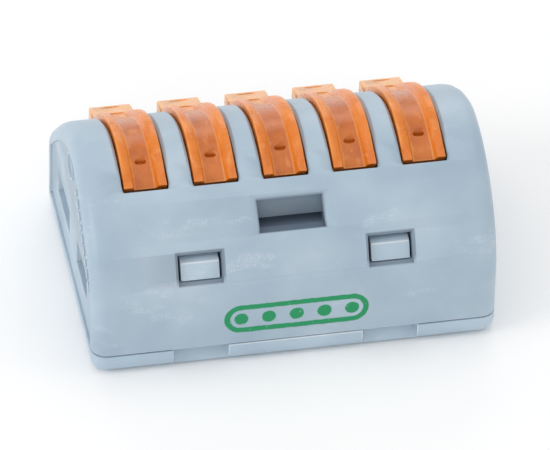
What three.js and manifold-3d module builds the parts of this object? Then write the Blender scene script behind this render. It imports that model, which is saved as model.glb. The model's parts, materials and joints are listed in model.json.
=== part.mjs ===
// Lever wire connector: a moulded housing with one lever, one cage clamp spring and one
// wire entry for each pole, a base cover that latches into it, and one shared busbar.
// Millimetres, +Z up. X runs along the row of poles. The plain back, with the latches,
// faces -Y, and the wires go in from +Y. z = 0 is the underside, and X = Y = 0 is its middle.

import * as THREE from 'three';
import { mergeVertices } from 'three/addons/utils/BufferGeometryUtils.js';
import Module from 'manifold-3d';

const wasm = await Module();
wasm.setup();

// ---- Row ----
const poles = 5;
const pitch = 4.95;
const chamberWidth = 3.3;
const endWall = 2.9;
const rowWidth = (poles - 1) * pitch + chamberWidth + 2 * endWall;
const depth = 20.5;

// ---- Housing outline ----
const crestHeight = 13.4;
const seamHeight = 1.7;
const seamGap = 0.08;
const rearDraft = 0.1;
const shoulderHeight = 5.6;
const crestFromRear = 9.2;
const browHeight = 6.6;
const browSetback = 0.5;
const lipDrop = 1.0;
const endRadius = 1.1;
const rearStraightness = 0.47;
const crestPullRear = 5.0;
const crestPullFront = 0.33;
const browPull = 0.3;
const browStraightness = 0.47;
const curveSteps = 18;

// ---- Base cover ----
const baseEdgeRadius = 1.0;
const notchWidth = 3.9;
const notchDepthTop = 0.9;
const notchDepthBottom = 0.15;
const tongueLength = 2.6;
const tongueHeight = 1.3;
const fitClearance = 0.15;
const rootOverlap = 0.5;

// ---- Latches ----
const latchSpacing = 13.5;
const latchWidth = 2.75;
const latchThickness = 1.25;
const latchSetback = 1.15;
const latchSideGap = 0.15;
const windowBottom = 7.14;
const windowTop = 9.0;
const windowRim = { depth: 0.4, side: 0.1, low: 0.1, high: 0.5 };
const hookRecess = 0.3;
const hookGap = 0.1;
const hookHeadroom = 0.42;
const hookChamfer = { height: 0.15, length: 0.4 };
const hookTipLength = 0.1;

// ---- Test slot ----
const testWidth = 4.65;
const testLength = 2.3;
const testDepth = 0.8;
const testBelowCrest = 2.6;
const testRim = { depth: 0.4, side: 0.75, low: 0.2, high: 0.45 };
const testPocketHeight = 0.75;
const testPocketWall = 0.3;

// ---- Levers ----
const leverGap = 0.14;
const leverWidth = chamberWidth - 2 * leverGap;
const pivotFromRear = 8.4;
const pivotBelowCrest = 3.0;
const pivotRadius = 0.9;
const pivotReach = 0.65;
const pivotClearance = 0.1;
const swingRadius = 3.75;
const swingClearance = 0.2;
const slotCorner = 0.4;
const slotRim = 0.2;
const hubRadius = 1.75;
const hubFrom = 200;
const hubTo = 300;
const railSink = 0.12;
const railRise = 0.2;
const railRiseLength = 3.0;
const railWidth = 0.56;
const channelDepth = 0.5;
const channelDepthRear = 0.24;
const channelDraft = 0.24;
const channelFadeRear = 1.9;
const channelFadeFront = 1.6;
const lipThickness = 0.75;
const lipUndercut = 0.4;
const armClearance = 0.25;
const tabLength = 1.75;
const tabRise = 0.42;
const tabFall = 0.36;
const tabInset = 0.12;
const tabThickness = 1.05;
const tabUndercut = 0.3;
const tabNotch = { length: 0.45, width: 0.45, depth: 0.55 };
const tabMark = { length: 1.4, width: 0.28, depth: 0.15, fromTip: 0.4 };
const gateMark = { length: 0.85, width: 0.5, depth: 0.3, fromPivot: 0.95 };

// ---- Wire entries ----
const entryWidth = 4.2;
const entryTop = 5.95;
const entryDepth = 4.3;
const entryEdge = 0.25;
const webThickness = 0.7;
const webFromPivot = 5.3;

// ---- Spring chamber ----
const rearWall = 3.3;
const chamberHeadroom = 0.3;

// ---- End pockets, which take the next connector's clips ----
const pocketDepth = 1.4;
const pocketBottom = 4.1;
const pocketTop = 6.1;
const pockets = [[3.6, 7.8], [11.0, 15.9]];
const panelDepth = 0.14;
const panelMargin = 1.25;

// ---- Busbar ----
const busThickness = 1.0;
const busTop = 5.9;
const busWidth = 4.5;
const busFromRear = 7.0;
const busEndGap = 0.15;
const tongueTipGap = 0.25;
const clampTongueWidth = 1.5;

// ---- Clamp springs ----
const stripThickness = 0.35;
const stripSideGap = 0.4;
const camGap = 0.15;
const springRear = 4.0;
const springLeg = 12.7;
const springSeat = 0.05;
const springBend = 0.5;
const jawHeight = 0.85;
const jawGap = 0.05;
const jawWindowTop = 7.2;
const jawSideGap = 0.1;

// ---- Places worked out from the sizes above ----
const rearFace = -depth / 2;
const frontFace = depth / 2;
const pivotY = rearFace + pivotFromRear;
const pivotZ = crestHeight - pivotBelowCrest;
const baseTop = seamHeight - seamGap;
const springTop = pivotZ - hubRadius - camGap;
const chamberTop = springTop + chamberHeadroom;
const testCentreHeight = crestHeight - testBelowCrest;
const stripWidth = chamberWidth - 2 * stripSideGap;
const slotSwing = swingRadius + swingClearance;
const tabStart = frontFace - tabLength;
const far = 40;
const cutOverlap = 0.1;
const overCut = 1.5;

const polePlaces = Array.from({ length: poles }, (_, i) => (i - (poles - 1) / 2) * pitch);
const latchPlaces = [-latchSpacing / 2, latchSpacing / 2];

// ---- Solids: three.js geometry in and out of manifold ----
function solid(geometry) {
  const bare = geometry.clone();
  bare.deleteAttribute('normal');
  bare.deleteAttribute('uv');
  const merged = mergeVertices(bare, 1e-4);
  const vertProperties = Float32Array.from(merged.attributes.position.array);
  const triVerts = Uint32Array.from(merged.index.array);
  return new wasm.Manifold(new wasm.Mesh({ numProp: 3, vertProperties, triVerts }));
}

function meshOf(name, body, material) {
  const { vertProperties, triVerts } = body.getMesh();
  const geometry = new THREE.BufferGeometry();
  geometry.setAttribute('position', new THREE.BufferAttribute(vertProperties, 3));
  geometry.setIndex(new THREE.BufferAttribute(triVerts, 1));
  geometry.computeVertexNormals();
  const mesh = new THREE.Mesh(geometry, material);
  mesh.name = name;
  return mesh;
}

function block(x0, x1, y0, y1, z0, z1) {
  const geometry = new THREE.BoxGeometry(x1 - x0, y1 - y0, z1 - z0);
  geometry.translate((x0 + x1) / 2, (y0 + y1) / 2, (z0 + z1) / 2);
  return solid(geometry);
}

// A cutter for a bevelled rim: a block that is wider at z = 0 by `side` at both ends of X,
// `low` at -Y and `high` at +Y, and has its true size at `depth` below.
function rimCutter(width, length, { depth: below, side, low, high }) {
  const geometry = new THREE.BoxGeometry(width, length, 2 * below);
  const corner = geometry.attributes.position;
  for (let i = 0; i < corner.count; i += 1) {
    if (corner.getZ(i) < 0) continue;
    corner.setX(i, corner.getX(i) + Math.sign(corner.getX(i)) * 2 * side);
    corner.setY(i, corner.getY(i) + (corner.getY(i) < 0 ? -2 * low : 2 * high));
  }
  return geometry;
}

// An outline of [y, z] points, pushed along X between x0 and x1. Over the last `run` at each
// end the outline draws in by `inset`, in a number of steps that follow a round.
function prism(points, x0, x1, { run = 0, inset = run, steps = 4 } = {}) {
  const shape = new THREE.Shape(points.map(([y, z]) => new THREE.Vector2(y, z)));
  const geometry = new THREE.ExtrudeGeometry(shape, {
    depth: x1 - x0 - 2 * run,
    bevelEnabled: run > 0,
    bevelThickness: run,
    bevelSize: inset,
    bevelOffset: -inset,
    bevelSegments: steps,
  });
  geometry.translate(0, 0, x0 + run);
  const along = new THREE.Vector3(1, 0, 0);
  const across = new THREE.Vector3(0, 1, 0);
  const up = new THREE.Vector3(0, 0, 1);
  geometry.applyMatrix4(new THREE.Matrix4().makeBasis(across, up, along));
  return solid(geometry);
}

// Points [y, z] round a centre, between two angles in degrees.
function arcLine(y, z, radius, from, to, steps) {
  return Array.from({ length: steps + 1 }, (_, i) => {
    const turn = THREE.MathUtils.degToRad(from + ((to - from) * i) / steps);
    return [y + radius * Math.cos(turn), z + radius * Math.sin(turn)];
  });
}

function pin(y, z, radius, x0, x1, sides = 24) {
  const geometry = new THREE.CylinderGeometry(radius, radius, x1 - x0, sides);
  geometry.rotateZ(Math.PI / 2);
  geometry.translate((x0 + x1) / 2, y, z);
  return solid(geometry);
}

// A cutter for an oval mark: upright, open at the top, its floor at height z.
function ovalCutter({ length, width }, y, z) {
  const geometry = new THREE.CylinderGeometry(length / 2, length / 2, 1, 16);
  geometry.rotateX(Math.PI / 2);
  geometry.scale(1, width / length, 1);
  geometry.translate(0, y, z + 0.5);
  return solid(geometry);
}

// ---- Dome: the housing's curved top, from the rear shoulder over the crest to the brow ----
const crest = new THREE.Vector2(rearFace + crestFromRear, crestHeight);
const shoulder = new THREE.Vector2(rearFace + rearDraft, shoulderHeight);
const brow = new THREE.Vector2(frontFace - browSetback, browHeight);
const rearRise = crestHeight - shoulderHeight;
const frontFall = crestHeight - browHeight;
const frontRun = brow.x - crest.x;
const rearCurve = new THREE.CubicBezierCurve(
  shoulder,
  new THREE.Vector2(shoulder.x + rearDraft, shoulder.y + rearStraightness * rearRise),
  new THREE.Vector2(crest.x - crestPullRear, crestHeight),
  crest,
);
const frontCurve = new THREE.CubicBezierCurve(
  crest,
  new THREE.Vector2(crest.x + crestPullFront * frontRun, crestHeight),
  new THREE.Vector2(brow.x - browPull * frontRun, brow.y + browStraightness * frontFall),
  brow,
);

// Points [y, z] on the dome between two places along Y, moved outwards by rise(y).
function domeLine(fromY, toY, rise = () => 0) {
  const samples = [];
  for (const curve of [rearCurve, frontCurve]) {
    for (let i = curve === rearCurve ? 0 : 1; i <= curveSteps; i += 1) {
      const point = curve.getPoint(i / curveSteps);
      const slope = curve.getTangent(i / curveSteps);
      const out = rise(point.x);
      samples.push([point.x - slope.y * out, point.y + slope.x * out]);
    }
  }
  const inside = samples.filter(([y]) => y > fromY && y < toY);
  return [lineAt(samples, fromY), ...inside, lineAt(samples, toY)];
}

function lineAt(line, y) {
  let i = 1;
  while (i < line.length - 1 && line[i][0] < y) i += 1;
  const [y0, z0] = line[i - 1];
  const [y1, z1] = line[i];
  return [y, z0 + ((z1 - z0) * (y - y0)) / (y1 - y0)];
}

// The last place on the rear half of the dome, coming up from the shoulder, where a test holds.
function domePlace(holds) {
  let low = 0;
  let high = 1;
  for (let i = 0; i < 30; i += 1) {
    const middle = (low + high) / 2;
    if (holds(rearCurve.getPoint(middle))) low = middle;
    else high = middle;
  }
  const slope = rearCurve.getTangent(low);
  return { point: rearCurve.getPoint(low), angle: Math.atan2(slope.y, slope.x) };
}

// Where the rear half of the dome passes a height, with the slope there as an angle.
function domeAtHeight(height) {
  return domePlace((point) => point.y < height);
}

// Puts a cutter, drawn flat with +Z outwards, on the dome's rear slope at a height.
function onRearSlope(geometry, x, height) {
  const place = domeAtHeight(height);
  geometry.rotateX(place.angle);
  geometry.translate(x, place.point.x, height);
  return solid(geometry);
}

// ---- Slot floor under each lever, which is also the roof of the wire entry ----
const floorRear = [pivotY + webFromPivot, chamberTop + webThickness];
const floorFront = [frontFace, entryTop + webThickness];

function floorHeight(y) {
  const share = (y - floorRear[0]) / (floorFront[0] - floorRear[0]);
  return floorRear[1] + share * (floorFront[1] - floorRear[1]);
}

// ---- Housing ----
function housingShell() {
  const outline = [
    [rearFace, seamHeight - 2 * endRadius],
    [rearFace, seamHeight],
    ...domeLine(shoulder.x, brow.x),
    [frontFace, browHeight - lipDrop],
    [frontFace, seamHeight - 2 * endRadius],
  ];
  const shell = prism(outline, -rowWidth / 2, rowWidth / 2, { run: endRadius });
  return shell.subtract(block(-far, far, -far, far, -far, seamHeight));
}

// Where a circle round the pivot comes out of the rear half of the dome, sunk by a depth.
function swingEdge(radius, sink = 0) {
  const pivot = new THREE.Vector2(pivotY, pivotZ);
  const { point } = domePlace((place) => place.distanceTo(pivot) > radius + sink);
  return point.sub(pivot).setLength(radius).add(pivot);
}

// A bevel round the mouth of the lever's slot, as deep in the dome as it is wide. The cutter
// widens at the same slope until it is clear of the dome.
function slotRimCutter(x) {
  const run = overCut * slotRim;
  const half = chamberWidth / 2 + run;
  const edge = swingEdge(slotSwing, slotRim);
  const floor = domeLine(edge.x, frontFace - endRadius, () => -slotRim);
  const inner = floor.filter(([y]) => y > edge.x + 2 * run);
  const outline = [
    floor[0],
    ...inner,
    [frontFace + 1, floor[floor.length - 1][1] - 1],
    [frontFace + 1, far],
    [edge.x, far],
  ];
  return prism(outline, x - half, x + half, { run, steps: 1 });
}

function poleChamber(x) {
  const x0 = x - chamberWidth / 2;
  const x1 = x + chamberWidth / 2;
  const webStart = floorRear[0];
  const sweep = arcLine(pivotY, pivotZ, slotSwing, 0, 360, 48).slice(1);
  const swing = prism(sweep, x0, x1, { run: slotCorner });
  const slot = prism([
    [pivotY, chamberTop - 1],
    [webStart, chamberTop - 1],
    floorRear,
    [frontFace + 1, floorHeight(frontFace + 1)],
    [frontFace + 1, far],
    [pivotY, far],
  ], x0, x1);
  const cage = block(x0, x1, rearFace + rearWall, webStart, -1, chamberTop);
  const wireWay = block(x0, x1, pivotY, frontFace - entryDepth + cutOverlap,
    -1, entryTop);
  const opened = swing.add(slot).add(cage).add(wireWay);
  return opened.add(slotRimCutter(x)).add(wireEntry(x)).add(pivotSockets(x));
}

function wireEntry(x) {
  const half = entryWidth / 2;
  const mouth = block(x - half, x + half, frontFace - entryDepth, frontFace + 1, -1, entryTop);
  const rim = { depth: entryEdge, side: entryEdge, low: entryEdge, high: 0 };
  const edge = rimCutter(entryWidth, 2 * (entryTop + 1), rim);
  edge.rotateX(-Math.PI / 2);
  edge.translate(x, frontFace, -1);
  return mouth.add(solid(edge));
}

function pivotSockets(x) {
  const half = chamberWidth / 2 + pivotReach;
  const radius = pivotRadius + pivotClearance;
  const socket = pin(pivotY, pivotZ, radius, x - half, x + half);
  return socket.add(block(x - half, x + half, pivotY - radius, pivotY + radius, -1, pivotZ));
}

function latchWindow(x) {
  const half = latchWidth / 2 + latchSideGap;
  const inner = latchSetback + latchThickness + hookRecess;
  const channel = block(x - half, x + half, rearFace + latchSetback - fitClearance, rearFace + inner,
    -1, windowTop);
  const opening = block(x - half, x + half, rearFace - 1, rearFace + inner, windowBottom, windowTop);
  const middle = (windowBottom + windowTop) / 2;
  const length = (windowTop - windowBottom) / Math.sin(domeAtHeight(middle).angle);
  const rim = rimCutter(2 * half, length, windowRim);
  return channel.add(opening).add(onRearSlope(rim, x, middle));
}

function testSlot() {
  const well = new THREE.BoxGeometry(testWidth, testLength, 2 * testDepth);
  const rim = rimCutter(testWidth, testLength, testRim);
  const place = domeAtHeight(testCentreHeight);
  const low = testCentreHeight - (testLength / 2) * Math.sin(place.angle)
    - testDepth * Math.cos(place.angle);
  const inner = pivotY - slotSwing - testPocketWall;
  const pocket = block(-testWidth / 2, testWidth / 2, place.point.x, inner,
    low, low + testPocketHeight);
  return onRearSlope(well, 0, testCentreHeight)
    .add(onRearSlope(rim, 0, testCentreHeight))
    .add(pocket);
}

function endPockets() {
  const cuts = [];
  for (const side of [-1, 1]) {
    for (const [near, away] of pockets) {
      const outer = side * (rowWidth / 2 + 1);
      const inner = side * (rowWidth / 2 - pocketDepth);
      cuts.push(block(Math.min(outer, inner), Math.max(outer, inner),
        rearFace + near, rearFace + away, pocketBottom, pocketTop));
    }
  }
  return cuts;
}

function endPanels() {
  const from = shoulder.x + panelMargin;
  const to = brow.x - panelMargin;
  const top = domeLine(from, to, () => -panelMargin);
  const outline = [[from, seamHeight - 1], ...top, [to, seamHeight - 1]];
  const outer = rowWidth / 2 + 1;
  const inner = rowWidth / 2 - panelDepth;
  return [prism(outline, -outer, -inner), prism(outline, inner, outer)];
}

function busChannel() {
  const half = rowWidth / 2 - endWall;
  return block(-half, half, rearFace + busFromRear - fitClearance,
    rearFace + busFromRear + busWidth + fitClearance, -1, busTop + fitClearance);
}

function housing() {
  let shell = housingShell();
  for (const x of polePlaces) shell = shell.subtract(poleChamber(x));
  for (const x of latchPlaces) shell = shell.subtract(latchWindow(x));
  for (const cut of [...endPanels(), ...endPockets()]) shell = shell.subtract(cut);
  return shell.subtract(testSlot()).subtract(busChannel());
}

// ---- Base cover ----
function roundedPlate(width, length, radius) {
  const shape = new THREE.Shape();
  const x = width / 2 - radius;
  const y = length / 2 - radius;
  shape.absarc(x, y, radius, 0, Math.PI / 2);
  shape.absarc(-x, y, radius, Math.PI / 2, Math.PI);
  shape.absarc(-x, -y, radius, Math.PI, 1.5 * Math.PI);
  shape.absarc(x, -y, radius, 1.5 * Math.PI, 2 * Math.PI);
  return shape;
}

function basePlate() {
  const geometry = new THREE.ExtrudeGeometry(roundedPlate(rowWidth, depth, endRadius), {
    depth: seamHeight,
    bevelThickness: baseEdgeRadius,
    bevelSize: baseEdgeRadius,
    bevelOffset: -baseEdgeRadius,
    bevelSegments: 4,
    curveSegments: 5,
  });
  geometry.translate(0, 0, baseEdgeRadius);
  return solid(geometry).subtract(block(-far, far, -far, far, baseTop, far));
}

function baseNotch(x) {
  return prism([
    [rearFace - 1, -1],
    [rearFace + notchDepthBottom, -1],
    [rearFace + notchDepthBottom, 0],
    [rearFace + notchDepthTop, baseTop],
    [rearFace + notchDepthTop, far],
    [rearFace - 1, far],
  ], x - notchWidth / 2, x + notchWidth / 2);
}

function latchArm(x) {
  const back = rearFace + latchSetback;
  const inside = back + latchThickness;
  const tip = windowTop - hookHeadroom;
  const catchHeight = windowBottom + hookGap;
  const slope = domeAtHeight((windowBottom + windowTop) / 2);
  const recess = hookRecess / Math.sin(slope.angle);
  const hookLow = domeAtHeight(catchHeight).point.x + recess;
  const hookHigh = domeAtHeight(tip - hookChamfer.height).point.x + recess;
  return prism([
    [back, baseTop - rootOverlap],
    [inside, baseTop - rootOverlap],
    [inside, tip],
    [Math.min(hookHigh + hookChamfer.length, inside - hookTipLength), tip],
    [hookHigh, tip - hookChamfer.height],
    [hookLow, catchHeight],
    [back, catchHeight],
  ], x - latchWidth / 2, x + latchWidth / 2);
}

function busPost(x) {
  const web = pitch - chamberWidth - 2 * fitClearance;
  return block(x - web / 2, x + web / 2, rearFace + busFromRear, rearFace + busFromRear + busWidth,
    baseTop - rootOverlap, busTop - busThickness - springSeat);
}

function locatingTongue(x) {
  const half = chamberWidth / 2 - fitClearance;
  const rear = rearFace + rearWall + fitClearance;
  return block(x - half, x + half, rear, rear + tongueLength, baseTop - rootOverlap,
    seamHeight + tongueHeight);
}

function baseCover() {
  let cover = basePlate();
  for (const x of latchPlaces) cover = cover.subtract(baseNotch(x)).add(latchArm(x));
  for (const x of polePlaces) cover = cover.add(locatingTongue(x));
  for (const x of polePlaces.slice(1)) cover = cover.add(busPost(x - pitch / 2));
  return cover;
}

// ---- Busbar: one bar across all poles, with a tongue through each spring's jaw ----
function busbar() {
  const half = rowWidth / 2 - endWall - busEndGap;
  const rear = rearFace + busFromRear;
  const bottom = busTop - busThickness;
  const tip = floorRear[0] - tongueTipGap;
  let bar = block(-half, half, rear, rear + busWidth, bottom, busTop);
  for (const x of polePlaces) {
    bar = bar.add(block(x - clampTongueWidth / 2, x + clampTongueWidth / 2, rear + busWidth / 2, tip,
      bottom, busTop));
  }
  return bar;
}

// ---- Clamp spring: a bent strip that seats on the busbar and grips from below it ----
function springStrip() {
  const half = stripThickness / 2;
  const low = busTop + springSeat + half;
  const high = springTop - half;
  const loop = (high - low) / 2;
  const loopY = rearFace + springRear + half + loop;
  const legY = rearFace + springLeg;
  const jawBottom = busTop - busThickness - jawGap - jawHeight;
  const turn = new THREE.Path();
  turn.moveTo(legY - 2 * springBend - stripThickness, low);
  turn.lineTo(loopY, low);
  turn.absarc(loopY, low + loop, loop, 1.5 * Math.PI, 0.5 * Math.PI, true);
  turn.lineTo(legY - springBend, high);
  turn.absarc(legY - springBend, high - springBend, springBend, 0.5 * Math.PI, 0, true);
  turn.lineTo(legY, jawBottom);
  return thickLine(turn.getPoints(10), half);
}

// The outline of a strip that runs half a thickness to each side of a line.
function thickLine(line, half) {
  const points = line.filter((p, i) => i === 0 || p.distanceTo(line[i - 1]) > 1e-4);
  const sides = [-half, half].map((offset) => points.map((point, i) => {
    const before = points[Math.max(i - 1, 0)];
    const after = points[Math.min(i + 1, points.length - 1)];
    const slope = after.clone().sub(before).normalize();
    return [point.x - slope.y * offset, point.y + slope.x * offset];
  }));
  return [...sides[0], ...sides[1].reverse()];
}

function clampSpring() {
  const strip = prism(springStrip(), -stripWidth / 2, stripWidth / 2);
  const half = clampTongueWidth / 2 + jawSideGap;
  const legY = rearFace + springLeg;
  const jawWindow = block(-half, half, legY - stripThickness, legY + stripThickness,
    busTop - busThickness - jawGap, jawWindowTop);
  return strip.subtract(jawWindow);
}

// ---- Lever: it lies in the slot, and its rear end presses the spring when it is lifted ----
// The rear end's top edge is sunk a little under the dome, and as far out as it can swing.
const rearTop = swingEdge(swingRadius, railSink);

// How far the rails stand over the dome: sunk at the rear, level with the tab at the front.
function railLevel(y) {
  const steep = THREE.MathUtils.lerp(-railSink, railRise, (y - rearTop.x) / railRiseLength);
  const gentle = THREE.MathUtils.mapLinear(y, rearTop.x + railRiseLength, tabStart, railRise, tabRise);
  return y < rearTop.x + railRiseLength ? steep : gentle;
}

// The channel's floor: shallow at the rear end, and rising to nothing at the tab.
function floorLevel(y) {
  const rear = Math.min(Math.max((y - rearTop.x) / channelFadeRear, 0), 1);
  const front = Math.min((tabStart - y) / channelFadeFront, 1);
  const below = THREE.MathUtils.lerp(channelDepthRear, channelDepth, rear) * front;
  return railLevel(y) - below;
}

function tabTopHeight() {
  return domeLine(tabStart, tabStart + 1, railLevel)[0][1];
}

function leverOutline() {
  const top = domeLine(rearTop.x, tabStart, railLevel).slice(1);
  const tipY = frontFace - tabInset;
  const tipTop = tabTopHeight() - (tipY - tabStart) * tabFall;
  const underTab = tabStart + tabUndercut;
  return [
    [rearTop.x, rearTop.y],
    ...top,
    [tipY, tipTop],
    [tipY, tipTop - tabThickness],
    [underTab, floorHeight(underTab) + armClearance],
    [floorRear[0], floorRear[1] + armClearance],
    ...arcLine(pivotY, pivotZ, hubRadius, hubTo, hubFrom, 8),
    [rearTop.x + lipUndercut, rearTop.y - lipThickness],
  ];
}

// The channel between the rails. Its sides lean outwards, and it is cut higher than the rails.
function leverChannel() {
  const run = overCut * channelDraft;
  const inset = overCut * channelDepth;
  const half = leverWidth / 2 - railWidth - channelDraft + run;
  const from = rearTop.x - 1;
  const line = domeLine(from, tabStart, floorLevel);
  const inner = line.filter(([y]) => Math.min(y - from, tabStart - y) > 2 * inset);
  const floor = [line[0], ...inner, line[line.length - 1]];
  return prism([...floor, [tabStart, far], [from, far]], -half, half, { run, inset, steps: 1 });
}

function tabNotches() {
  const { length, width, depth: deep } = tabNotch;
  const inner = leverWidth / 2 - width;
  const floor = tabTopHeight() - deep;
  const cut = (x0, x1) => block(x0, x1, tabStart - length, tabStart, floor, far);
  return cut(-leverWidth, -inner).add(cut(inner, leverWidth));
}

function leverMarks() {
  const gateY = pivotY - gateMark.fromPivot;
  const gateFloor = domeLine(gateY, gateY + 1, floorLevel)[0][1] - gateMark.depth;
  const tabY = frontFace - tabInset - tabMark.fromTip;
  const tabFloor = tabTopHeight() - (tabY - tabStart) * tabFall - tabMark.depth;
  return ovalCutter(gateMark, gateY, gateFloor).add(ovalCutter(tabMark, tabY, tabFloor));
}

function lever() {
  const half = leverWidth / 2;
  const arm = prism(leverOutline(), -half, half);
  const reach = chamberWidth / 2 + pivotReach - pivotClearance;
  return arm.subtract(leverChannel())
    .subtract(tabNotches())
    .subtract(leverMarks())
    .add(pin(pivotY, pivotZ, pivotRadius, -reach, reach));
}

// ---- Materials ----
const moulded = new THREE.MeshStandardMaterial({ color: 0xa9bac8, roughness: 0.45, metalness: 0 });
const leverPlastic = new THREE.MeshStandardMaterial({ color: 0xee7a22, roughness: 0.35, metalness: 0 });
const tinnedCopper = new THREE.MeshStandardMaterial({ color: 0xc9c6bd, roughness: 0.3, metalness: 1 });
const springSteel = new THREE.MeshStandardMaterial({ color: 0x9a9ca0, roughness: 0.3, metalness: 1 });

// ---- Assembly ----
const connector = new THREE.Group();
connector.add(meshOf('housing', housing(), moulded));
connector.add(meshOf('base_cover', baseCover(), moulded.clone()));
connector.add(meshOf('busbar', busbar(), tinnedCopper));
polePlaces.forEach((x, i) => {
  const spring = meshOf(`clamp_spring_${i + 1}`, clampSpring(), springSteel.clone());
  const arm = meshOf(`lever_${i + 1}`, lever(), leverPlastic.clone());
  for (const piece of [spring, arm]) {
    piece.position.x = x;
    connector.add(piece);
  }
});

export default connector;
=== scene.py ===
"""Lever wire connector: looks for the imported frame. Metres, +Z up, the wires go in from +Y."""
import json
import math

import bmesh
import bpy
from mathutils import Matrix, Vector
from mathutils.geometry import intersect_point_line

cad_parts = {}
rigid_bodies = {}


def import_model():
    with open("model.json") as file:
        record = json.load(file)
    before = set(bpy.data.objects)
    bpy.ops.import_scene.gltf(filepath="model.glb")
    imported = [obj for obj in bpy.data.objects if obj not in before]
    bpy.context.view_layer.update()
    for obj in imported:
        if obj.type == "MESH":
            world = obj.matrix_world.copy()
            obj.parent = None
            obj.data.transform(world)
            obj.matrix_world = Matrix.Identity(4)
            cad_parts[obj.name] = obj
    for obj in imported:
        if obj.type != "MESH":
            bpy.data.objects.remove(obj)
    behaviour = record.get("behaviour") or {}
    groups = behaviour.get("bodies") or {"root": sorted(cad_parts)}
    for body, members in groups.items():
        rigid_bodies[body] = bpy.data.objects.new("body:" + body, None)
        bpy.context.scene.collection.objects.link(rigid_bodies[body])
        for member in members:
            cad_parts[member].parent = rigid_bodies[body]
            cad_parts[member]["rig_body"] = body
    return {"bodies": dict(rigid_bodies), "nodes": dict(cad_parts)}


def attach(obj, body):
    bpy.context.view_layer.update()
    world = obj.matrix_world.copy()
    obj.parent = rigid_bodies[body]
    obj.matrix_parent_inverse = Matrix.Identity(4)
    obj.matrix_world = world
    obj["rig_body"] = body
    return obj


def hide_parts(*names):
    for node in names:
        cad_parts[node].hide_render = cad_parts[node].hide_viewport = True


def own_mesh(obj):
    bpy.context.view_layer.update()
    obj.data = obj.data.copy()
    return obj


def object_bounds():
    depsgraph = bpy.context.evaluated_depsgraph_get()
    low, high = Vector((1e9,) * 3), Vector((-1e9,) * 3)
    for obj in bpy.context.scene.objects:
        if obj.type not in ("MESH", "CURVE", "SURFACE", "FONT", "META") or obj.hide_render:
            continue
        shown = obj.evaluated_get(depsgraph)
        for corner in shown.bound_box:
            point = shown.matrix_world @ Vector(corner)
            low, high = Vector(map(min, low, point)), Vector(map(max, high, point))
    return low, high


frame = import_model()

MM = 0.001
cad_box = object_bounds()
LEVERS = sorted(name for name in frame["bodies"] if name.startswith("lever"))
SPRINGS = sorted(name for name in frame["nodes"] if name.startswith("clamp_spring"))

# The CAD part's own sizes, in millimetres.
POLE_PITCH = 4.95
ROW_HALF = cad_box[1][0] / MM
REAR_FACE = cad_box[0][1] / MM
SEAM_HEIGHT = 1.7
END_RECESS = 0.14
LATCH_CENTRE = 6.75


# ---- Camera, lights and floor ----
CENTRE = Vector((0.0, 0.0, 6.0)) * MM
VIEW_YAW = math.radians(11.748)
VIEW_TILT = math.radians(39.294)
VIEW_ROLL = math.radians(1.579)
VIEW_DISTANCE = 0.42611
VIEW_SLIDE = Vector((-0.331, 1.873)) * MM
FOCAL_PIXELS = 6000
IMAGE_WIDTH = 550
SENSOR = 36.0
FLOOR_HALF = 0.6


def add_camera():
    camera_data = bpy.data.cameras.new("camera")
    camera_data.sensor_width = SENSOR
    camera_data.lens = SENSOR * FOCAL_PIXELS / IMAGE_WIDTH
    camera_data.clip_start = 0.01
    camera = bpy.data.objects.new("camera", camera_data)
    bpy.context.scene.collection.objects.link(camera)
    ahead = Vector((math.sin(VIEW_YAW) * math.cos(VIEW_TILT),
                    math.cos(VIEW_YAW) * math.cos(VIEW_TILT), -math.sin(VIEW_TILT)))
    level = Vector((math.cos(VIEW_YAW), -math.sin(VIEW_YAW), 0))
    up = level.cross(ahead)
    right = level * math.cos(VIEW_ROLL) + up * math.sin(VIEW_ROLL)
    top = up * math.cos(VIEW_ROLL) - level * math.sin(VIEW_ROLL)
    turn = Matrix((right, top, -ahead)).transposed().to_4x4()
    eye = CENTRE - ahead * VIEW_DISTANCE - right * VIEW_SLIDE.x - top * VIEW_SLIDE.y
    camera.matrix_world = Matrix.Translation(eye) @ turn
    bpy.context.scene.camera = camera


def add_softbox(name, place, size, watts, colour=(1, 1, 1)):
    light = bpy.data.lights.new(name, "AREA")
    light.shape = "RECTANGLE"
    light.size, light.size_y = size
    light.energy = watts
    light.color = colour
    lamp = bpy.data.objects.new(name, light)
    bpy.context.scene.collection.objects.link(lamp)
    lamp.location = place
    lamp.rotation_euler = (CENTRE - Vector(place)).to_track_quat("-Z", "Y").to_euler()


def add_studio():
    add_softbox("softbox_top", (-0.02, 0.03, 0.30), (0.30, 0.22), 0.16)
    add_softbox("softbox_left", (-0.28, -0.06, 0.14), (0.16, 0.16), 0.26)
    add_softbox("softbox_right", (0.26, -0.08, 0.16), (0.10, 0.20), 0.05)
    add_softbox("softbox_front", (-0.03, -0.32, 0.16), (0.30, 0.20), 0.06)
    add_softbox("softbox_behind", (0.04, 0.30, 0.18), (0.26, 0.12), 0.14)
    world = bpy.data.worlds.new("studio")
    bpy.context.scene.world = world
    world.use_nodes = True
    background = world.node_tree.nodes["Background"]
    background.inputs["Color"].default_value = (1.0, 1.0, 1.0, 1.0)
    background.inputs["Strength"].default_value = 0.72
    bpy.context.scene.view_settings.view_transform = "Standard"


def add_floor():
    bm = bmesh.new()
    bmesh.ops.create_grid(bm, x_segments=1, y_segments=1, size=FLOOR_HALF)
    mesh = bpy.data.meshes.new("floor")
    bm.to_mesh(mesh)
    bm.free()
    floor = bpy.data.objects.new("floor", mesh)
    bpy.context.scene.collection.objects.link(floor)
    mesh.materials.append(floor_paper())


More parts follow.
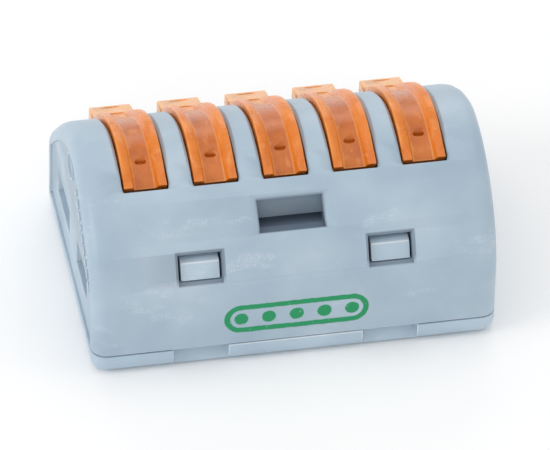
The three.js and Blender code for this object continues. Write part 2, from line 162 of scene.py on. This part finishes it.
# ---- Shader maths ----
class Wire:
    """One output of a node. Arithmetic on it adds Math nodes to its tree."""

    def __init__(self, paint, socket):
        self.paint = paint
        self.socket = socket

    def maths(self, operation, *others, clamp=False):
        values = {i: other for i, other in enumerate((self, *others))}
        return self.paint.node("ShaderNodeMath", {"operation": operation, "use_clamp": clamp}, values)

    def __add__(self, other):
        return self.maths("ADD", other)

    __radd__ = __add__

    def __sub__(self, other):
        return self.maths("SUBTRACT", other)

    def __rsub__(self, other):
        return self.maths("MULTIPLY_ADD", -1.0, other)

    def __mul__(self, other):
        return self.maths("MULTIPLY", other)

    __rmul__ = __mul__

    def __truediv__(self, other):
        return self.maths("DIVIDE", other)

    def __abs__(self):
        return self.maths("ABSOLUTE")

    def above(self, edge, softness):
        """0 below the edge and 1 above it, with a soft step between."""
        return ((self - edge) / softness + 0.5).maths("ADD", 0.0, clamp=True)

    def below(self, edge, softness):
        return 1 - self.above(edge, softness)

    def between(self, low, high, softness):
        return self.above(low, softness) * self.below(high, softness)

    def from_nearest(self, step):
        """The distance to the nearest whole multiple of a step."""
        return self - (self / step).maths("ROUND") * step

    def at_least(self, other):
        return self.maths("MAXIMUM", other)


class Paint:
    """A new material and its nodes."""

    def __init__(self, name, **settings):
        self.material = bpy.data.materials.new(name)
        self.material.use_nodes = True
        self.tree = self.material.node_tree
        self.shader = self.tree.nodes["Principled BSDF"]
        for socket, value in settings.items():
            self.shader.inputs[socket.replace("_", " ")].default_value = value
        self.place = self.node("ShaderNodeTexCoord", {}, {}, "Object")

    def node(self, kind, settings, values, output=0):
        node = self.tree.nodes.new(kind)
        for key, value in settings.items():
            if key == "stops":
                self.fill_ramp(node.color_ramp, value)
            else:
                setattr(node, key, value)
        for socket, value in values.items():
            self.connect(node.inputs[socket], value)
        return Wire(self, node.outputs[output])

    def fill_ramp(self, ramp, stops):
        while len(ramp.elements) < len(stops):
            ramp.elements.new(1.0)
        for element, (position, colour) in zip(ramp.elements, stops):
            element.position = position
            element.color = colour

    def connect(self, socket, value):
        if isinstance(value, Wire):
            self.tree.links.new(value.socket, socket)
        else:
            socket.default_value = value

    def set(self, socket, value):
        self.connect(self.shader.inputs[socket], value)

    def axes(self):
        """X, Y and Z on the object, in millimetres."""
        split = self.node("ShaderNodeSeparateXYZ", {}, {0: self.place})
        outputs = split.socket.node.outputs
        return [Wire(self, outputs[axis]) * 1000.0 for axis in "XYZ"]

    def noise(self, size_mm, detail=2.0, rough=0.5, stretch=(1, 1, 1)):
        scaled = self.node("ShaderNodeMapping", {}, {"Vector": self.place, "Scale": stretch})
        values = {"Vector": scaled, "Scale": 1000.0 / size_mm, "Detail": detail, "Roughness": rough}
        return self.node("ShaderNodeTexNoise", {}, values)

    def attribute(self, name):
        """A value that the piece's own mesh carries."""
        return self.node("ShaderNodeAttribute", {"attribute_name": name}, {}, "Fac")

    def ramp(self, factor, stops):
        return self.node("ShaderNodeValToRGB", {"stops": stops}, {0: factor})

    def mix(self, factor, first, second):
        values = {"Factor": factor, 6: first, 7: second}
        return self.node("ShaderNodeMix", {"data_type": "RGBA"}, values, 2)

    def bump(self, height, distance_mm, strength=1.0, onto=None):
        values = {"Height": height, "Distance": distance_mm * MM, "Strength": strength}
        if onto is not None:
            values["Normal"] = onto
        return self.node("ShaderNodeBump", {}, values)


def colour(red, green, blue):
    """A screen colour, 0 to 255, as the linear colour that a shader takes."""
    def linear(level):
        share = level / 255
        return share / 12.92 if share <= 0.04045 else ((share + 0.055) / 1.055) ** 2.4
    return (linear(red), linear(green), linear(blue), 1.0)


# ---- Materials ----
def floor_paper():
    paint = Paint("floor_paper", Roughness=0.9)
    paint.set("Base Color", paint.ramp(paint.noise(40.0), [
        (0.3, colour(250, 250, 250)), (0.7, colour(255, 255, 255))]))
    return paint.material


def grey_nylon(name, painted_light_lift=0, printed=False):
    """Satin blue-grey polyamide: faint flow clouds, a fine moulded grain and pale scuffs."""
    paint = Paint(name, IOR=1.5, Subsurface_Weight=0.06, Subsurface_Scale=0.0006)
    clouds = paint.noise(5.0, 3.0, 0.5)
    grain = paint.noise(0.12, 2.0, 0.6)
    flow = paint.noise(2.2, 4.0, 0.6, (0.35, 1, 1))
    # Every level is raised by the lift: painted bounce light from the floor, for the lighter copy on
    # the base cover and end marks.
    base = paint.ramp(clouds, [
        (0.3, colour(161 + painted_light_lift, 181 + painted_light_lift, 197 + painted_light_lift)),
        (0.55, colour(171 + painted_light_lift, 190 + painted_light_lift, 204 + painted_light_lift)),
        (0.75, colour(182 + painted_light_lift, 198 + painted_light_lift, 211 + painted_light_lift))])
    scuffs = flow.above(0.62, 0.06) * grain.above(0.5, 0.2)
    base = paint.mix(scuffs * 0.35, base, colour(214, 222, 230))
    # Painted highlight along rounded edges, broken up by the flow clouds.
    rim = paint.attribute("rim")
    base = paint.mix(rim * (0.35 + flow * 0.5), base, colour(232, 236, 240))
    rough = 0.36 + clouds * 0.12 + scuffs * 0.12
    height = grain * 0.5 + flow * 0.5
    if printed:
        # Painted shade in the test slot's well and round the latches in their windows.
        base = paint.mix(recess_shade(paint), base, colour(84, 100, 118))
        ink, thick = pole_print(paint)
        base = paint.mix(ink, base, colour(0, 146, 90))
        rough = rough + ink * 0.08
        height = height + thick * 1.5
    paint.set("Base Color", base)
    paint.set("Roughness", rough)
    paint.set("Normal", paint.bump(height, 0.012, 0.6))
    return paint.material


WELL_CENTRE = (-7.52, 10.8)
WELL_LEAN = math.radians(43.0)
WELL_HALF = (2.4, 1.25)
WELL_LEDGE_HEIGHT = 9.9
WINDOW_HALF = 1.75
WINDOW_HEIGHTS = (6.8, 9.3)
WELL_DEPTHS = (0.2, 3.0)
WINDOW_DEPTHS = (0.45, 2.0)
WELL_SHADE = 0.55
LEDGE_SHADE = 0.3
WINDOW_SHADE = 0.6


def recess_shade(paint):
    """Painted shade in the test slot's well, and round the latches in their windows."""
    x, y, z = paint.axes()
    back = y - WELL_CENTRE[0]
    up = z - WELL_CENTRE[1]
    inward = back * math.sin(WELL_LEAN) - up * math.cos(WELL_LEAN)
    along = back * math.cos(WELL_LEAN) + up * math.sin(WELL_LEAN)
    well = abs(x).below(WELL_HALF[0], 0.15) * abs(along).below(WELL_HALF[1], 0.2)
    well = well * inward.between(*WELL_DEPTHS, 0.15)
    well = well * (WELL_SHADE + z.below(WELL_LEDGE_HEIGHT, 0.15) * LEDGE_SHADE)
    deep = y - REAR_FACE
    window = abs(abs(x) - LATCH_CENTRE).below(WINDOW_HALF, 0.05) * z.between(*WINDOW_HEIGHTS, 0.1)
    return well.at_least(window * deep.between(*WINDOW_DEPTHS, 0.2) * WINDOW_SHADE)


PRINT_CENTRE = (0.0, 3.85)
PRINT_HALF = (5.15, 1.2)
PRINT_LINE = 0.42
PRINT_DOT = 0.5
PRINT_REACH = 0.4


def pole_print(paint):
    """Green ink on the back face: a capsule outline round one dot for each pole."""
    x, y, z = paint.axes()
    worn = paint.noise(0.35, 3.0, 0.7)
    wobble = (paint.noise(0.5, 2.0, 0.5) - 0.5) * 0.12
    across = x - PRINT_CENTRE[0]
    up = z - PRINT_CENTRE[1]
    straight = PRINT_HALF[0] - PRINT_HALF[1]
    past_end = (abs(across) - straight).at_least(0.0)
    reach = (past_end * past_end + up * up).maths("SQRT") + wobble
    ring = reach.below(PRINT_HALF[1], 0.06) * reach.above(PRINT_HALF[1] - PRINT_LINE, 0.06)
    nearest = across.from_nearest(2 * straight / (len(LEVERS) - 1))
    dot = ((nearest * nearest + up * up).maths("SQRT") + wobble).below(PRINT_DOT, 0.06)
    dot = dot * abs(across).below(straight + PRINT_DOT, 0.01)
    shape = ring.at_least(dot) * y.below(REAR_FACE + PRINT_REACH, 0.02)
    missing = worn.above(0.68, 0.04)
    return shape * (1 - missing * 0.8), shape


CHANNEL_HALF = 0.68
CHANNEL_ENDS = (-5.2, 6.6)
TAB_START = 8.4


def orange_nylon():
    """Glossy orange polyamide that lets a little light through, with painted light and shade: duller
    in the channel, a painted shade for its recess where it is thin over the dark slot, and paler at
    the tab, a painted glow where light comes through from below."""
    paint = Paint("orange_nylon", IOR=1.5, Subsurface_Weight=0.2, Subsurface_Scale=0.0008,
                  Subsurface_Radius=(1.0, 0.45, 0.12))
    x, y, z = paint.axes()
    across = abs(x.from_nearest(POLE_PITCH))
    clouds = paint.noise(1.6, 3.0, 0.55)
    grain = paint.noise(0.1, 2.0, 0.6)
    base = paint.ramp(clouds, [(0.3, colour(220, 118, 28)), (0.55, colour(229, 130, 36)),
                               (0.75, colour(237, 143, 54))])
    # Painted shade: the channel is duller, for its recess over the dark slot.
    channel = across.below(CHANNEL_HALF, 0.08) * y.between(*CHANNEL_ENDS, 0.5)
    painted_channel_shade = paint.mix(clouds.above(0.5, 0.4), colour(184, 92, 22), colour(206, 112, 34))
    base = paint.mix(channel * 0.85, base, painted_channel_shade)
    low = y.below(-2.2, 4.5) * (1 - channel) * grain.above(0.42, 0.2)
    base = paint.mix(low * 0.35, base, colour(206, 96, 12))
    # Painted light: the tab is paler where light comes through from below.
    base = paint.mix(y.above(TAB_START - 1.2, 3.0) * 0.8, base, colour(246, 196, 148))
    rubbed = paint.noise(0.5, 4.0, 0.6, (1, 0.3, 1)).above(0.62, 0.08)
    base = paint.mix(rubbed * 0.3, base, colour(246, 176, 116))
    # Painted highlight along rounded edges.
    rim = paint.attribute("rim")
    base = paint.mix(rim * (0.1 + clouds * 0.4), base, colour(246, 182, 112))
    paint.set("Base Color", base)
    paint.set("Roughness", 0.2 + clouds * 0.15 + rubbed * 0.15)
    paint.set("Normal", paint.bump(grain * 0.6 + clouds * 0.4, 0.016, 0.6))
    return paint.material


def tinned_copper():
    paint = Paint("tinned_copper", Metallic=1.0)
    tarnish = paint.noise(1.5, 3.0, 0.6)
    drawn = paint.noise(0.3, 2.0, 0.5, (0.1, 1, 1))
    paint.set("Base Color", paint.ramp(tarnish, [
        (0.35, colour(176, 170, 158)), (0.7, colour(206, 202, 192))]))
    paint.set("Roughness", 0.25 + drawn * 0.2)
    paint.set("Normal", paint.bump(drawn, 0.01, 0.5))
    return paint.material


def spring_steel():
    paint = Paint("spring_steel", Metallic=1.0)
    heat = paint.noise(2.0, 3.0, 0.6)
    rolled = paint.noise(0.25, 2.0, 0.5, (1, 0.15, 0.15))
    paint.set("Base Color", paint.ramp(heat, [
        (0.35, colour(140, 141, 144)), (0.7, colour(172, 172, 172))]))
    paint.set("Roughness", 0.22 + rolled * 0.2)
    paint.set("Normal", paint.bump(rolled, 0.008, 0.5))
    return paint.material


# ---- Pieces ----
CREASE = math.radians(32)
SHARP = math.radians(28)
FLAT = math.radians(0.5)
JOIN_WITHIN = 0.002
ROOM = 2.5
# Levels of painted bounce light from the floor, added to the base cover's grey.
COVER_PAINTED_LIGHT_LIFT = 9
COVER_EDGE = 0.08
LEVER_EDGE = 0.1
SPRING_EDGE = 0.05
BUSBAR_EDGE = 0.08


def finish_piece(name, bm, material, body, replaces=()):
    """Makes a piece from a mesh drawn in millimetres, and puts it on its body."""
    bmesh.ops.scale(bm, verts=bm.verts, vec=(MM, MM, MM))
    mesh = bpy.data.meshes.new(name)
    bm.to_mesh(mesh)
    bm.free()
    mesh.shade_smooth()
    mesh.set_sharp_from_angle(angle=CREASE)
    mesh.materials.clear()
    mesh.materials.append(material)
    piece = bpy.data.objects.new(name, mesh)
    bpy.context.scene.collection.objects.link(piece)
    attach(piece, body)
    if replaces:
        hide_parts(*replaces)
    return piece


def merged_copy(node):
    """The CAD node's mesh in millimetres, its corners joined and its flat faces made whole."""
    bm = bmesh.new()
    bm.from_mesh(frame["nodes"][node].data)
    bmesh.ops.scale(bm, verts=bm.verts, vec=(1 / MM, 1 / MM, 1 / MM))
    bmesh.ops.remove_doubles(bm, verts=bm.verts, dist=JOIN_WITHIN)
    bmesh.ops.dissolve_limit(bm, angle_limit=FLAT, verts=bm.verts, edges=bm.edges)
    return bm


def is_sharp(edge):
    return len(edge.link_faces) == 2 and edge.calc_face_angle(0) > SHARP


def gap_to(place, edge):
    """The distance from a place to the nearest point of an edge."""
    start, end = (corner.co for corner in edge.verts)
    share = intersect_point_line(place, start, end)[1]
    return (place - start.lerp(end, min(max(share, 0.0), 1.0))).length


def room_beside(edge):
    """An edge's length, or its distance to the nearest edge of its faces that doesn't meet it."""
    others = {other for face in edge.link_faces for other in face.edges
              if not set(other.verts) & set(edge.verts)}
    gaps = [gap_to(corner.co, other) for other in others for corner in edge.verts]
    gaps += [gap_to(corner.co, edge) for other in others for corner in other.verts]
    return min(gaps + [edge.calc_length()])


def round_edges(bm, edges, width, segments=4):
    """Rounds edges, and marks the new surface's middle for a painted highlight in its material."""
    rim = bm.verts.layers.float.get("rim") or bm.verts.layers.float.new("rim")
    made = bmesh.ops.bevel(bm, geom=edges, offset=width, offset_type="OFFSET", segments=segments,
                           profile=0.5, affect="EDGES", clamp_overlap=False, material=-1)
    rounded = set(made["faces"])
    for corner in made["verts"]:
        if all(face in rounded for face in corner.link_faces):
            corner[rim] = 1.0


def add_moulded(node, material, edge):
    """A piece with every sharp edge rounded that has room for it."""
    bm = merged_copy(node)
    round_edges(bm, [e for e in bm.edges if is_sharp(e) and room_beside(e) > ROOM * edge], edge)
    body = frame["nodes"][node]["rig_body"]
    return finish_piece(node + "_moulding", bm, material, body, [node])


SEAM_BAND = 0.9
SEAM_EDGE = 0.1
SEAM_ROOM = 0.05


def add_housing(material):
    """The housing, with its rim along the seam rounded."""
    bm = merged_copy("housing")

    def at_seam(edge):
        middle = (edge.verts[0].co + edge.verts[1].co) / 2
        outside = abs(middle.x) > ROW_HALF - SEAM_BAND or middle.y < REAR_FACE + SEAM_BAND
        return outside and max(corner.co.z for corner in edge.verts) < SEAM_HEIGHT + 0.01

    seam = [e for e in bm.edges if is_sharp(e) and at_seam(e) and room_beside(e) > SEAM_ROOM]
    round_edges(bm, seam, SEAM_EDGE, segments=3)
    return finish_piece("housing_moulding", bm, material, "body", ["housing"])


END_RING = (0.1, 10.75)
END_RING_RADIUS = 0.95
END_DASH_FROM = (-2.4, 10.3)
END_DASH_TO = (-7.7, 6.2)
END_DASHES = 9
END_DASH_LENGTHS = (0.36, 0.62, 0.62)
END_DASH_WIDTH = 0.5
END_MARK_HEIGHT = 0.1
END_MARK_ROOT = 0.15
END_RING_ROOT = 0.13
END_RING_FACE = 0.08


def add_end_marks(material):
    """A raised ring and a row of raised dashes on the end panel at -X, low enough to stay
    inside the panel's recess."""
    bm = bmesh.new()
    panel = -ROW_HALF + END_RECESS
    face = panel - END_MARK_HEIGHT
    root = panel + END_MARK_ROOT
    section = ((root, -END_RING_ROOT), (face, -END_RING_FACE), (face, END_RING_FACE),
               (root, END_RING_ROOT))
    ring = [bm.verts.new((x, END_RING[0], END_RING[1] + END_RING_RADIUS + reach))
            for x, reach in section]
    loop = [bm.edges.new((a, b)) for a, b in zip(ring, ring[1:] + ring[:1])]
    bmesh.ops.spin(bm, geom=ring + loop, cent=(0, *END_RING), axis=(1, 0, 0), angle=math.tau,
                   steps=40, use_merge=True, use_duplicate=False)
    lean = math.atan2(END_DASH_TO[1] - END_DASH_FROM[1], END_DASH_TO[0] - END_DASH_FROM[0])
    for i in range(END_DASHES):
        share = i / (END_DASHES - 1)
        y = END_DASH_FROM[0] + (END_DASH_TO[0] - END_DASH_FROM[0]) * share
        z = END_DASH_FROM[1] + (END_DASH_TO[1] - END_DASH_FROM[1]) * share
        length = END_DASH_LENGTHS[i % len(END_DASH_LENGTHS)]
        place = Matrix.Translation(((face + root) / 2, y, z)) @ Matrix.Rotation(lean, 4, "X")
        size = Matrix.Diagonal((root - face, length, END_DASH_WIDTH, 1))
        bmesh.ops.create_cube(bm, size=1.0, matrix=place @ size)
    bmesh.ops.recalc_face_normals(bm, faces=bm.faces)
    return finish_piece("end_marks", bm, material, "body")


add_camera()
add_studio()
add_floor()

# A lighter copy of the grey nylon, its lift a painted bounce light from the floor, for the end marks
# and the base cover.
bounce_lit_nylon = grey_nylon("grey_nylon", painted_light_lift=COVER_PAINTED_LIGHT_LIFT)
printed_nylon = grey_nylon("printed_grey_nylon", printed=True)
orange = orange_nylon()
steel = spring_steel()
tin = tinned_copper()

add_housing(printed_nylon)
add_end_marks(bounce_lit_nylon)
add_moulded("base_cover", bounce_lit_nylon, COVER_EDGE)
for name in LEVERS:
    add_moulded(name, orange, LEVER_EDGE)
for name in SPRINGS:
    spring = add_moulded(name, steel, SPRING_EDGE)
    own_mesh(spring)
add_moulded("busbar", tin, BUSBAR_EDGE)
